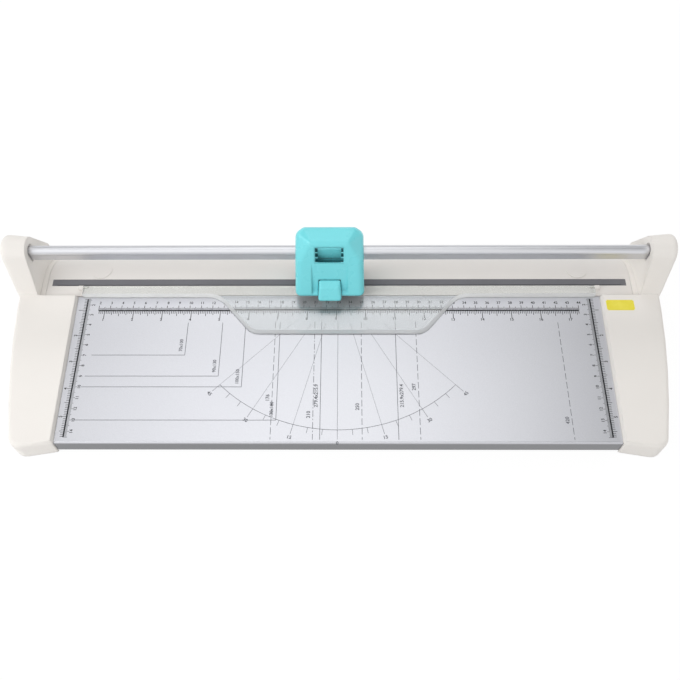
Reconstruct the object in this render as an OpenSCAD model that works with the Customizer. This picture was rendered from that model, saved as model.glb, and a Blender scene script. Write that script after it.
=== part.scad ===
// A sliding rotary paper trimmer: a folded metal plate between two moulded side frames, a rail
// across the back, and a carriage on the rail that presses a round blade onto a cutting strip.
// X runs along the rail, -Y is the user's side and Z is up. The origin is on the table, under
// the middle of the whole trimmer.

/* [Plate] */
// Width of the plate between the side frames
plate_w = 460; // [330:5:600]
// From the cutting line to the plate's front edge
plate_front = 150.8; // [120:0.2:220]
// From the cutting line to the plate's rear edge
plate_rear = 11.3; // [10:0.1:14]
// Height of the plate's top above the table
plate_top = 18; // [16:0.5:24]
// Thickness of the folded sheet
sheet_t = 1.2; // [0.8:0.1:1.6]
// Outer radius of the folds
fold_r = 1.8; // [1.7:0.1:3]
// Width of the flange folded back under the front lip
hem_w = 7; // [4:0.5:12]
// Width of a channel that stiffens the plate from below
brace_w = 22; // [14:1:40]

/* [Bed] */
// Height of the bed's lower edge above the table
stand_off = 1.5; // [1:0.1:2.5]
// Radius of the bed's rounded rear apron
apron_r = 40; // [34:1:60]
// Wall thickness of the mouldings
wall = 2.4; // [1.8:0.1:3]
// Width of the cutting strip
strip_w = 7; // [5:0.2:9]
// Thickness of the cutting strip
strip_t = 2.2; // [1.6:0.1:3]
// How far the cutting strip lies in front of the cutting line
strip_lead = 0.8; // [0.7:0.1:2]
// Radius of the two round pads on the apron
pad_r = 9; // [5:0.5:11]

/* [Side frames] */
// How far a side frame's top stands above the plate
cap_rise = 4.5; // [3:0.5:6]
// From the plate's end to the frame's outer face at the cheek
frame_w = 56; // [50:0.5:70]
// How much narrower the frame is at its front
frame_taper = 22; // [8:0.5:26]
// How far the frame's outer edge bulges
frame_bulge = 4; // [0:0.5:5]
// How much further the frame reaches over the plate at the front
frame_wrap = 2.2; // [0:0.1:3]
// Thickness of the cheek that carries the rail
cheek_t = 21.5; // [18:0.5:24]
// How far the cheek's outer face leans outwards
cheek_lean = 3; // [0:0.5:4]
// Radius of the cheek's rounded top around the rail
cheek_r = 14; // [12:0.5:18]
// Rounding of the outer edges
edge_r = 3.5; // [1.5:0.5:4]

/* [Rail] */
// Height of the rail's round top's axis above the plate
rail_rise = 38; // [34:0.5:46]
// From the cutting line back to the rail's middle
rail_back = 10.5; // [9.5:0.1:13]
// Radius of the rail's round top
rail_r = 4.4; // [3.6:0.1:4.8]
// Height of the rail's flat sides
rail_side = 8; // [5:0.5:9]
// Depth of the pocket that holds each rail end
rail_seat = 4.5; // [3:0.5:7]

/* [Guard] */
// Length of the clear guard
guard_len = 452; // [300:2:590]
// Thickness of the clear guard
guard_t = 3; // [2.6:0.1:3.6]
// Gap under the guard for the paper
paper_gap = 0.5; // [0.3:0.1:1]
// From the cutting line to the front edge of the guard's ends
guard_front = 13.5; // [12:0.5:20]
// From the cutting line to the tongue's front edge
tongue_front = 50.5; // [34:0.5:80]
// Width of the tongue at its front
tongue_w = 149; // [80:1:220]
// Radius of the two hinge pins
hinge_r = 0.8; // [0.6:0.05:0.9]

/* [Carriage] */
// Where the carriage stands, from the middle
carriage_x = -7; // [-150:1:150]
// Width of the carriage
hood_w = 59.4; // [57:0.2:70]
// Height of the carriage's top above the plate
hood_top = 58.5; // [57:0.5:66]
// Gap between the plate and the carriage's lower edge
hood_gap = 10; // [9:0.5:11]
// Width of the window in the carriage
window_w = 19.4; // [16:0.2:21]
// Height of the window along the sloping front
window_h = 14.2; // [10:0.2:15]
// Width of the press tab
tab_w = 20; // [14:0.2:22]

/* [Blade] */
// Radius of the round blade
blade_r = 14; // [12:0.5:14.5]
// Thickness of the blade
blade_t = 0.6; // [0.4:0.1:0.6]
// How far the blade moves down when the tab is pressed
press_travel = 5; // [3:0.5:5.5]
// How deep the pressed blade dips into the strip's groove
blade_dip = 0.6; // [0.2:0.1:0.9]
// Radius of the blade's axle
axle_r = 2.4; // [1.8:0.1:3]

/* [Hidden] */
$fn = 64;
fit = 0.05;       // radial clearance of screws and pins in their holes
run = 0.06;       // radial clearance of the parts that turn or slide
seam = 0.2;       // gap between neighbouring mouldings
half_w = plate_w / 2 + frame_w;           // half the whole width
cheek_in = half_w - cheek_t;              // inner face of a cheek
foot_w = 4.8;                             // step at the foot of each cheek
bed_half = cheek_in - foot_w - seam;      // half the bed's length
cap_top = plate_top + cap_rise;
rail_z = plate_top + rail_rise;
rail_low = rail_z - rail_side;            // underside of the rail
rail_step = 0.5;                          // set-back of the flat sides under the round top
plate_tuck = 2.2;                         // plate held in the side frame's groove
cap_nose = 1.3;                           // thickness of the frame in front of the lip
cap_flare = 3.9;                          // how much further forward the outer corner is
cap_back = plate_rear + 1.7;              // rear wall of the frame's low part
front_reach = plate_front + cap_nose + cap_flare;
apron_flat = strip_w - strip_lead + 1;    // where the apron starts to curve
apron_end = apron_flat + sqrt(pow(apron_r, 2) - pow(apron_r - plate_top + stand_off, 2));
cheek_low_r = 10;                         // radius of the cheek's rear lower part
cheek_draft = 2;                          // how much smaller the cheek's top is at its inner face
rear_reach = apron_end + 1.6;             // rear face of the cheeks
line_y = (front_reach - rear_reach) / 2;  // the cutting line, from the origin
lip_low = stand_off + 1;                  // lower edge of the plate's front lip
flange_h = 12;                            // height of the plate's rear flange
flange_low = plate_top - flange_h;
foot_r = 6;                               // radius of a rubber foot
foot_seat = stand_off + 1.6;              // top of a foot's pad
foot_peg = 5;                             // length of a foot's peg
front_foot = [half_w - frame_taper - 16, -front_reach + 22]; // place of the right front foot
pad_inset = 46;                           // from the bed's end to the middle of a round pad
rear_foot = [bed_half - pad_inset, 22];   // place of the right rear foot, under the pad
boss_r = 3.4;                             // radius of the screw bosses
screw_r = 1.5;                            // radius of the small screws
head_r = 2.8;                             // radius of their heads
head_h = 1.6;                             // height of their heads
lug_y = 16;                               // length of the bed's lug under each cheek
lug_from = 10;                            // start of the lug behind the cutting line
lug_t = 3;                                // thickness of the lug
bar_screw_r = 2;                          // radius of the rail screws
bar_head_r = 3.8;                         // radius of their heads
bar_head_h = 2.6;                         // height of their heads
bar_screw_l = 24;                         // length of the rail screws
guard_low = plate_top + paper_gap;
guard_rear = 2.6;                         // guard's rear edge, in front of the cutting line
hinge_y = -guard_rear - guard_t / 2;
hinge_z = guard_low + guard_t / 2;
ear_t = 4;                                // thickness of the hinge ears
pin_hold = 4;                             // depth of the pin in the guard
guard_bevel = 2.4;                        // width of the guard's bevelled edges
tongue_flare = 30.7;                      // how much wider the tongue is at its root, each side
tongue_out_r = 16;                        // radius of the tongue's front corners
tongue_in_r = 20;                         // radius where the tongue runs into the guard's ends
hood_low = plate_top + hood_gap;
roof = plate_top + hood_top;
front_slope = 0.522;                      // how far the front leans back per millimetre of height
front_tilt = atan(front_slope);
brow_y = 2.7;                             // upper end of the sloping front
brow_z = roof - 1.5;
hood_back = rail_back + 12.3;             // rear face of the carriage
hood_wall = 2.2;
skirt_low = hood_low + 2.5;               // lower edge of the hood, on the bottom plate
recess_w = 30.6;                          // width of the recessed panel around the tab
recess_top = roof - 16.5;                 // where the recess starts
recess_slope = 0.423;                     // how far the recessed panel leans back
tunnel_t = 1.5;                           // wall between the rail and the blade
shoe_front = rail_back - rail_r - 1.7;    // front face of the slider
shoe_back = hood_back - hood_wall - 0.4;  // rear face of the slider
shoe_low = rail_low - 4;
shoe_high = rail_z + rail_r + 4;
shoe_corner = 6;                          // height of the slider's cut upper corners
blade_low = plate_top - blade_dip + press_travel;
axle_z = blade_low + blade_r;
holder_back = blade_t / 2 + 0.6;          // holder's rear face, in front of the cutting line
washer_t = 0.5;
side_gap = 0.1;                           // play on each side of the blade
holder_w = 24;
holder_low = hood_low + 1.5;
holder_high = holder_low + 22.5;
holder_slope = 0.447;
holder_front = 13.1;                      // holder's front face, in front of the cutting line
holder_knee = holder_low + 5.5;           // where the holder's front starts to lean back
ear_low = holder_low + 14.5;              // underside of the holder's spring ears
ear_reach = holder_w / 2 + 7.5;
ear_half = 2.8;                           // half the depth of an ear
spring_x = holder_w / 2 + 4.5;
spring_y = -5;
guide_t = 1.7;                            // thickness of the holder's guides, with their play
guide_front = 11;                         // front edge of the guides, in front of the cutting line
shroud_y = 2.6;                           // front face of the shroud behind the blade
spring_r = 2;
wire_r = 0.35;
spring_turns = 6;
base_top = hood_low + 2.5;                // upper face of the carriage's bottom plate
carriage_boss_r = 3;                      // radius of the carriage's screw bosses
carriage_boss = [hood_w / 2 - 5.4, -10.4, 14]; // their places: across, front row, rear row
carriage_screw_l = 10;                    // length of the carriage screws
base_screw_l = 11;                        // length of the base screws
nut_af = 7;                               // width across the flats of the axle nut
nut_t = 2.4;
nut_seat = 8.2;                           // inner face of the nut, in front of the cutting line
tab_screw = [7.6, 3];                     // tab screws: across, and up from the holder's foot

// Two-dimensional helpers

function xy(p) = [p[0], p[1]];
function unit(v) = v / norm(v);

// Polygon points from corners [x, y, radius]; a radius of 0 leaves the corner sharp
function rounded(p, n = 6) = [
  for (i = [0 : len(p) - 1])
    let (
      here = xy(p[i]),
      back = unit(xy(p[(i + len(p) - 1) % len(p)]) - here),
      ahead = unit(xy(p[(i + 1) % len(p)]) - here),
      r = p[i][2],
      half = acos(max(-1, min(1, back * ahead))) / 2,
      centre = r == 0 ? here : here + unit(back + ahead) * r / sin(half),
      start = here + back * (r == 0 ? 0 : r / tan(half)) - centre,
      end = here + ahead * (r == 0 ? 0 : r / tan(half)) - centre,
      a = r == 0 ? 0 : atan2(start[1], start[0]),
      turn = r == 0 ? 0 : (atan2(end[1], end[0]) - a + 540) % 360 - 180
    )
    for (k = [0 : r == 0 ? 0 : n]) centre + r * [cos(a + turn * k / n), sin(a + turn * k / n)]
];

function arc(c, r, from, to, n) = [
  for (k = [0 : n]) c + r * [cos(from + (to - from) * k / n), sin(from + (to - from) * k / n)]
];

// Three-dimensional helpers

// Moves what is drawn from the cutting line to its place over the origin
module placed() {
  translate([0, line_y, 0]) children();
}

// Extrudes a (y, z) outline along X
module along_x(from, to) {
  translate([from, 0, 0]) rotate([90, 0, 90]) linear_extrude(to - from) children();
}

// Extrudes an (x, z) outline along Y
module along_y(from, to) {
  translate([0, to, 0]) rotate([90, 0, 0]) linear_extrude(to - from) children();
}

module box(low, high) {
  translate(low) cube(high - low);
}

// A pan-head screw with its head's top at the origin and its shank along +Z
module screw(r, length, cap_r, cap_h) {
  difference() {
    union() {
      cylinder(r = cap_r, h = cap_h);
      translate([0, 0, cap_h]) cylinder(r = r, h = length);
    }
    translate([-cap_r * 0.6, -0.4, -0.1]) cube([cap_r * 1.2, 0.8, cap_h * 0.5]);
    translate([-0.4, -cap_r * 0.6, -0.1]) cube([0.8, cap_r * 1.2, cap_h * 0.5]);
  }
}

// A disc along X whose outer edge, at +X, is rounded and whose inner end may be smaller
module rounded_disc(r, from, to, edge, draft = 0) {
  translate([from, 0, 0]) rotate([0, 90, 0]) rotate_extrude($fn = 32)
    polygon(rounded([[0, 0, 0], [r - draft, 0, 0], [r, to - from, edge], [0, to - from, 0]], 4));
}

// A round post whose top edge is rounded
module rounded_post(r, high, edge) {
  rotate_extrude($fn = 32)
    polygon(rounded([[0, 0, 0], [r, 0, 0], [r, high, edge], [0, high, 0]], 4));
}

// Plate

module base_plate() {
  color("silver") placed() along_x(-plate_w / 2 - plate_tuck, plate_w / 2 + plate_tuck)
    polygon(rounded([
      [-plate_front + hem_w, lip_low, 0],
      [-plate_front, lip_low, fold_r],
      [-plate_front, plate_top, fold_r],
      [-plate_rear, plate_top, fold_r],
      [-plate_rear, flange_low, 0],
      [-plate_rear - sheet_t, flange_low, 0],
      [-plate_rear - sheet_t, plate_top - sheet_t, fold_r - sheet_t],
      [-plate_front + sheet_t, plate_top - sheet_t, fold_r - sheet_t],
      [-plate_front + sheet_t, lip_low + sheet_t, fold_r - sheet_t],
      [-plate_front + hem_w, lip_low + sheet_t, 0]
    ]));
}

// A folded channel under the plate, from the front lip to the rear flange
module plate_brace(side) {
  under = plate_top - sheet_t;
  color("gainsboro") placed() translate([side * plate_w / 4, 0, 0])
    along_y(-plate_front + hem_w + 1, -plate_rear - fold_r - 0.2)
      polygon(rounded([
        [-brace_w / 2, under, fold_r],
        [brace_w / 2, under, fold_r],
        [brace_w / 2, flange_low - 1, 0],
        [brace_w / 2 - sheet_t, flange_low - 1, 0],
        [brace_w / 2 - sheet_t, under - sheet_t, fold_r - sheet_t],
        [-brace_w / 2 + sheet_t, under - sheet_t, fold_r - sheet_t],
        [-brace_w / 2 + sheet_t, flange_low - 1, 0],
        [-brace_w / 2, flange_low - 1, 0]
      ]));
}

module left_plate_brace() {
  plate_brace(-1);
}

module right_plate_brace() {
  plate_brace(1);
}

// Seat and peg hole of a foot
module foot_socket(p) {
  translate([p[0], p[1], 0]) {
    cylinder(r = foot_r + 0.1, h = foot_seat);
    cylinder(r = 2 + fit, h = foot_seat + foot_peg + 0.5);
  }
}

// Bed with the cutting strip

// The bed's section: flat beside the strip, then falling in an arc to the rear
module bed_section(front, inset) {
  r = apron_r - inset;
  low = inset == 0 ? stand_off : -1;
  end_angle = asin((apron_r - plate_top + low) / r);
  polygon(concat(
    [[-front + inset, low], [-front + inset, plate_top - inset]],
    arc([apron_flat, plate_top - apron_r], r, 90, end_angle, 14)
  ));
}

module bed_lug(side) {
  difference() {
    box(
      [side > 0 ? bed_half - 12 : -cheek_in - cheek_t * 0.6, lug_from, stand_off + 0.2],
      [side > 0 ? cheek_in + cheek_t * 0.6 : -bed_half + 12, lug_from + lug_y, stand_off + 0.2 + lug_t]
    );
    for (y = lug_screw_rows) translate([side * lug_screw_x, y, stand_off]) {
      cylinder(r = screw_r + fit, h = lug_t + 1);
      translate([0, 0, -0.1]) cylinder(r = head_r + 0.3, h = head_h + 0.3);
    }
  }
}
lug_screw_x = cheek_in + wall + boss_r - 0.6;
lug_screw_rows = [lug_from + 4, lug_from + lug_y - 4];

// An ear that holds one hinge pin of the guard
module hinge_ear(side) {
  difference() {
    translate([side > 0 ? guard_len / 2 + 0.3 : -guard_len / 2 - 0.3 - ear_t, 0, 0])
      along_x(0, ear_t) polygon(rounded([
        [hinge_y - 2, plate_top - 1, 0],
        [hinge_y + 2, plate_top - 1, 0],
        [hinge_y + 2, hinge_z + 2, 1.9],
        [hinge_y - 2, hinge_z + 2, 1.9]
      ]));
    translate([side * (guard_len / 2 - 1), hinge_y, hinge_z]) rotate([0, side * 90, 0])
      cylinder(r = hinge_r + fit, h = ear_t + 3, $fn = 32);
  }
}

module rear_bed() {
  color("whitesmoke") placed() {
    difference() {
      union() {
        along_x(-bed_half, bed_half) bed_section(plate_rear, 0);
        for (side = [-1, 1])
          box(
            [side > 0 ? plate_w / 2 + plate_tuck + seam : -bed_half, -cap_back + seam, stand_off],
            [side > 0 ? bed_half : -plate_w / 2 - plate_tuck - seam, 0, plate_top]
          );
        for (side = [-1, 1]) intersection() {
          translate([side * rear_foot[0], apron_flat + pad_r, 0]) cylinder(r = pad_r, h = plate_top + 1);
          translate([0, 0, 0.5]) along_x(-bed_half, bed_half) bed_section(plate_rear, 0);
        }
      }
      difference() {
        along_x(-bed_half + wall, bed_half - wall) bed_section(plate_rear, wall);
        box(
          [-bed_half, -strip_lead - wall, plate_top - strip_t - wall],
          [bed_half, apron_flat + wall, plate_top]
        );
        for (k = [-4 : 4]) along_x(k * bed_half / 4.6 - 0.9, k * bed_half / 4.6 + 0.9) difference() {
          bed_section(plate_rear, 0);
          translate([-plate_rear, -1]) square([apron_end + plate_rear + 2, stand_off + 4]);
        }
        for (side = [-1, 1]) translate([side * rear_foot[0], rear_foot[1], foot_seat])
          cylinder(r = foot_r + 1.6, h = plate_top);
      }
      box(
        [-bed_half + 4, -strip_lead, plate_top - strip_t],
        [bed_half - 4, strip_w - strip_lead, plate_top + 1]
      );
      for (side = [-1, 1]) foot_socket([side * rear_foot[0], rear_foot[1]]);
    }
    for (side = [-1, 1]) {
      bed_lug(side);
      hinge_ear(side);
    }
  }
}

// The strip fills its channel and has a shallow groove on the cutting line
module cutting_strip() {
  color("dimgray") placed() difference() {
    along_x(-bed_half + 4, bed_half - 4) polygon(rounded([
      [-strip_lead, plate_top - strip_t, 0],
      [strip_w - strip_lead, plate_top - strip_t, 0],
      [strip_w - strip_lead, plate_top, 0.3],
      [-strip_lead, plate_top, 0.2]
    ], 2));
    box(
      [-bed_half + 8, -blade_t / 2 - 0.05, plate_top - 1],
      [bed_half - 8, blade_t / 2 + 0.05, plate_top + 1]
    );
  }
}

// Side frames

// The right frame's outer edge from its rear, t = 0, to its front, t = 1, as a shallow arc
function frame_edge(t, inset) = [
  half_w - cheek_lean - 1.2 - inset - (frame_taper - cheek_lean - 1.2) * t + 4 * frame_bulge * t * (1 - t),
  2 - (front_reach - 8) * t
];

// The low part of the right frame, beside the plate
module frame_block() {
  x_in = plate_w / 2;
  hull() {
    for (p = [[x_in - frame_wrap + 2.2, -plate_front - cap_nose + 2.2], [x_in + 2.2, 2]])
      translate([p[0], p[1], stand_off]) {
        cylinder(r = 2.2, h = plate_top - stand_off, $fn = 32);
        cylinder(r1 = 2.2, r2 = 0.9, h = cap_top - stand_off, $fn = 32);
      }
    for (t = [0 : 0.2 : 0.8]) translate(concat(frame_edge(t, edge_r), stand_off))
      rounded_post(edge_r, cap_top - stand_off, edge_r * 0.9);
    translate([half_w - frame_taper - 10, -front_reach + 10, stand_off])
      rounded_post(10, cap_top - stand_off, edge_r);
  }
}

// The cheek of the right frame: round about the rail and reaching down to the table
module cheek(inset) {
  from = cheek_in + inset;
  to = half_w - inset;
  edge = inset == 0 ? edge_r + 1 : 1;
  hull() {
    translate([0, rail_back, rail_z]) rounded_disc(cheek_r - inset, from, to, edge, cheek_draft);
    translate([0, -cap_back + 4.5, cap_top - 2])
      rounded_disc(4.5 - inset, from, to - cheek_lean, edge * 0.5);
    translate([0, -cap_back + 4.5, stand_off + 4.5])
      rounded_disc(4.5 - inset, from, to - cheek_lean, edge * 0.5);
    translate([0, rear_reach - cheek_low_r, plate_top + 4])
      rounded_disc(cheek_low_r - inset, from, to - cheek_lean, edge);
    translate([0, rear_reach - 4.5, stand_off + 4.5])
      rounded_disc(4.5 - inset, from, to - cheek_lean, edge * 0.5);
  }
}

// The rail's section, grown by a clearance
module rail_section(grow) {
  translate([rail_back, rail_z]) circle(r = rail_r + grow);
  translate([rail_back - rail_r + rail_step - grow, rail_low - grow])
    square([2 * (rail_r - rail_step + grow), rail_side + grow]);
}

module side_frame() {
  x_in = plate_w / 2;
  difference() {
    union() {
      difference() {
        union() {
          difference() {
            frame_block();
            // Room for the bed's end
            box([x_in - 1, -cap_back, -1], [cheek_in, 20, cap_top + 1]);
          }
          cheek(0);
        }
        // Hollow underside
        translate([0, 0, -1]) linear_extrude(cap_top - wall + 1) polygon(rounded(concat(
          [
            [x_in + plate_tuck + wall, -cap_back - wall, 1],
            [x_in + plate_tuck + wall, -plate_front - cap_nose + wall + 1, 1],
            [half_w - frame_taper - wall - 1.6, -front_reach + wall + 0.6, 8]
          ],
          [for (t = [0.8 : -0.2 : 0.2]) concat(frame_edge(t, wall + 1.6), 0)],
          [[frame_edge(0, wall + 1.6)[0], -cap_back - wall, 1]]
        )));
        translate([0, 0, -stand_off - 1]) cheek(wall);
        cheek(wall);
      }
      // Foot of the cheek beside the bed
      along_x(bed_half + seam, cheek_in + 0.5) bed_section(cap_back + 0.5, 0);
      // Boss behind the rail's pocket
      translate([cheek_in, rail_back, rail_z - 1]) rotate([0, 90, 0])
        cylinder(r = rail_r + 4.5, h = cheek_t - 1);
      // Bosses over the bed's lug
      for (y = lug_screw_rows) translate([lug_screw_x, y, stand_off + lug_t + 0.2])
        cylinder(r = boss_r, h = 16);
      // Boss over the foot
      translate([front_foot[0], front_foot[1], foot_seat])
        cylinder(r = foot_r + 1.6, h = cap_top - wall / 2 - foot_seat);
    }
    // Groove for the plate's end and its front lip
    box(
      [x_in - frame_wrap - 1, -plate_front - 0.1, plate_top - sheet_t - 0.1],
      [x_in + plate_tuck + 0.1, -cap_back + 1, plate_top + 0.1]
    );
    box(
      [x_in - frame_wrap - 1, -plate_front - 0.1, stand_off - 1],
      [x_in + plate_tuck + 0.1, -plate_front + hem_w + 0.2, plate_top]
    );
    // Pocket for the rail's end, with a shallow relief around it
    along_x(cheek_in - 1, cheek_in + rail_seat) rail_section(0.1);
    along_x(cheek_in - 1, cheek_in + 1.2) rail_section(1.4);
    // Hole and counterbore for the rail's screw
    translate([cheek_in, rail_back, rail_z - 1]) rotate([0, 90, 0])
      cylinder(r = bar_screw_r + fit, h = cheek_t);
    translate([half_w - bar_head_h - 1, rail_back, rail_z - 1]) rotate([0, 90, 0])
      cylinder(r = bar_head_r + 0.3, h = bar_head_h + 2);
    // Way for the bed's lug, and the holes of its screws
    box(
      [bed_half, lug_from - seam, stand_off - 1],
      [cheek_in + cheek_t * 0.6 + seam, lug_from + lug_y + seam, stand_off + lug_t + 0.2]
    );
    for (y = lug_screw_rows) translate([lug_screw_x, y, stand_off])
      cylinder(r = screw_r + fit, h = base_screw_l + 3);
    foot_socket(front_foot);
  }
}

module right_side_frame() {
  color("linen") placed() side_frame();
}

module left_side_frame() {
  color("linen") placed() mirror([1, 0, 0]) side_frame();
}

// A rubber foot with a peg
module rubber_foot(side, p) {
  color("darkslategray") placed() translate([side * p[0], p[1], 0]) {
    cylinder(r1 = foot_r - 0.5, r2 = foot_r, h = 0.8);
    translate([0, 0, 0.8]) cylinder(r = foot_r, h = foot_seat - 0.8);
    translate([0, 0, foot_seat]) cylinder(r = 2, h = foot_peg);
  }
}

module front_left_foot() {
  rubber_foot(-1, front_foot);
}

module front_right_foot() {
  rubber_foot(1, front_foot);
}

module rear_left_foot() {
  rubber_foot(-1, rear_foot);
}

module rear_right_foot() {
  rubber_foot(1, rear_foot);
}

// Screws from below that hold the side frames to the bed
module base_screws() {
  color("gray") placed() for (side = [-1, 1], y = lug_screw_rows)
    translate([side * lug_screw_x, y, stand_off + 0.2])
      screw(screw_r, base_screw_l, head_r, head_h);
}

// Rail

module guide_rail() {
  end = cheek_in + rail_seat - 0.1;
  color("lightgray") placed() difference() {
    along_x(-end, end) rail_section(0);
    for (side = [-1, 1]) translate([side * end, rail_back, rail_z - 1]) rotate([0, -side * 90, 0])
      cylinder(r = bar_screw_r + fit, h = bar_screw_l);
  }
}

module rail_screws() {
  color("gray") placed() for (side = [-1, 1])
    translate([side * (half_w - 1), rail_back, rail_z - 1]) rotate([0, -side * 90, 0])
      screw(bar_screw_r, bar_screw_l, bar_head_r, bar_head_h);
}

// Guard

// Corners of the right half of the guard's outline, from the rear to the tongue
tongue_root = [tongue_w / 2 + tongue_flare, -guard_front];
tongue_tip = [tongue_w / 2, -tongue_front];
tongue_turn = atan2(tongue_front - guard_front, tongue_flare);  // slant of the tongue's sides
function guard_half() = [
  [guard_len / 2, -guard_rear - guard_t / 2, 0],
  [guard_len / 2, -guard_front, 2],
  concat(tongue_root, tongue_in_r),
  concat(tongue_tip, tongue_out_r)
];

// What a bevel cuts off, across the edge: the guard is on the positive side
bevel_points = [[-0.2, -guard_t * 0.8], [guard_bevel, 0.01], [guard_bevel, 1], [-0.2, 1]];

// Bevels the straight edge from p to q, whose outer side is on the right
module edge_bevel(p, q) {
  along = q - p;
  translate([p[0], p[1], guard_low + guard_t]) rotate([0, 0, atan2(along[1], along[0])])
    rotate([90, 0, 90]) linear_extrude(norm(along)) polygon(bevel_points);
}

// Bevels a round stretch of edge, a hair deeper; its centre is in the guard where the way is 1,
// outside where it is -1
module arc_bevel(centre, r, from, turn, way) {
  translate([centre[0], centre[1], guard_low + guard_t]) rotate([0, 0, from]) rotate_extrude(angle = turn)
    polygon([for (p = bevel_points) [r - way * (p[0] + 0.02), p[1]]]);
}

// The bevel along the tongue's right side and half its front
module tongue_bevel() {
  t_in = tongue_in_r * tan(tongue_turn / 2);
  t_out = tongue_out_r * tan(tongue_turn / 2);
  side_way = unit(tongue_tip - tongue_root);
  over = 0.3;  // the straight bevels run on a little at the outer corner, the round one at the inner
  edge_bevel([-0.5, tongue_tip[1]], [tongue_tip[0] - t_out + over, tongue_tip[1]]);
  edge_bevel(tongue_tip - side_way * (t_out - over), tongue_root + side_way * t_in);
  edge_bevel([tongue_root[0] + t_in, tongue_root[1]], [guard_len / 2 + 0.5, tongue_root[1]]);
  arc_bevel(tongue_tip + [-t_out, tongue_out_r], tongue_out_r, -90, tongue_turn, 1);
  arc_bevel(tongue_root + [t_in, -tongue_in_r], tongue_in_r, 90 - over, tongue_turn + 2 * over, -1);
}

module clear_guard() {
  right = guard_half();
  left = [for (i = [len(right) - 1 : -1 : 0]) [-right[i][0], right[i][1], right[i][2]]];
  color("lightcyan", 0.5) placed() difference() {
    union() {
      translate([0, 0, guard_low]) linear_extrude(guard_t) polygon(rounded(concat(right, left), 12));
      translate([-guard_len / 2, hinge_y, hinge_z]) rotate([0, 90, 0])
        cylinder(r = guard_t / 2, h = guard_len);
    }
    tongue_bevel();
    mirror([1, 0, 0]) tongue_bevel();
    for (side = [-1, 1]) translate([side * guard_len / 2, hinge_y, hinge_z]) rotate([0, -side * 90, 0])
      translate([0, 0, -1]) cylinder(r = hinge_r + fit, h = pin_hold + 1, $fn = 32);
  }
}

module guard_pins() {
  reach = guard_len / 2 + 0.3 + ear_t;
  color("gray") placed() for (side = [-1, 1])
    translate([side * reach, hinge_y, hinge_z]) rotate([0, -side * 90, 0])
      cylinder(r = hinge_r, h = ear_t + pin_hold, $fn = 32);
}

// Carriage

module at_carriage() {
  placed() translate([carriage_x, 0, 0]) children();
}

// Where the sloping front is at a height
function front_at(z) = brow_y - front_slope * (brow_z - z);

// Where the recessed panel is at a height
function recess_at(z) = front_at(recess_top) - recess_slope * (recess_top - z);

// The hood's rounded form, shrunk by an inset
module hood_form(inset) {
  half = hood_w / 2;
  below = inset == 0 ? 0 : 3;
  on_front = 1 / cos(front_tilt);
  hull() for (side = [-1, 1]) {
    // Top, rear and front
    translate([side * (half - 9.6), hood_back - 6, roof - 6]) sphere(r = 6 - inset, $fn = 32);
    for (down = [5, 10.6])
      translate([side * (half - 14.4), front_at(roof - down) + 5 * on_front, roof - down])
        sphere(r = 5 - inset, $fn = 32);
    // Shoulders, rear and front
    translate([side * (half - 7.9), hood_back - 7.5, roof - 8]) sphere(r = 7 - inset, $fn = 32);
    translate([side * (half - 6.8), front_at(roof - 19) + 6.2 * on_front, roof - 19])
      sphere(r = 6.2 - inset, $fn = 32);
    // Lower edge, rear and front
    translate([side * (half - 5), hood_back - 5, skirt_low - below])
      cylinder(r = 5 - inset, h = 2 + below, $fn = 32);
    translate([side * (half - 5), front_at(skirt_low + 2) + 5, skirt_low - below])
      cylinder(r = 5 - inset, h = 2 + below, $fn = 32);
  }
}

// Material kept behind the recessed panel
module panel_backing() {
  along_x(-recess_w / 2 - hood_wall - 1.7, recess_w / 2 + hood_wall + 1.7) polygon([
    [recess_at(recess_top) - 20, recess_top + 4],
    [recess_at(recess_top + 4) + hood_wall, recess_top + 4],
    [recess_at(skirt_low - 4) + hood_wall, skirt_low - 4],
    [recess_at(skirt_low - 4) - 20, skirt_low - 4]
  ]);
}

// The recess gets deeper downwards and ends above the hood's lower edge
module recess_cut() {
  along_x(-recess_w / 2, recess_w / 2) polygon([
    [recess_at(recess_top), recess_top],
    [recess_at(skirt_low + 3.5), skirt_low + 3.5],
    [front_at(skirt_low + 2), skirt_low + 2],
    [front_at(skirt_low + 2) - 20, skirt_low + 2],
    [recess_at(recess_top) - 20, recess_top]
  ]);
}

// The window, square to the sloping front, with a sunk rim and notches at its sides
module window_cut() {
  z = brow_z - 2.7 - window_h * cos(front_tilt) / 2;
  deep = hood_wall + 1.2;
  notch = 2.2;
  rim = notch + 0.7;
  half = window_w / 2;
  translate([0, front_at(z), z]) rotate([-front_tilt, 0, 0]) {
    box([-half, -4, -window_h / 2], [half, deep, window_h / 2]);
    box([-half - rim, -4, -window_h / 2 - 0.6], [half + rim, 0.5, window_h / 2 + 0.6]);
    box([-half + 1.6, 0, -window_h / 2], [half - 1.6, deep + 3, -window_h / 2 + 3]);
    for (side = [-1, 1], up = [-0.33, 0, 0.33])
      translate([side * half, 0, up * window_h]) box([-notch, 0, -1.9], [notch, deep, 1.9]);
  }
}

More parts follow.
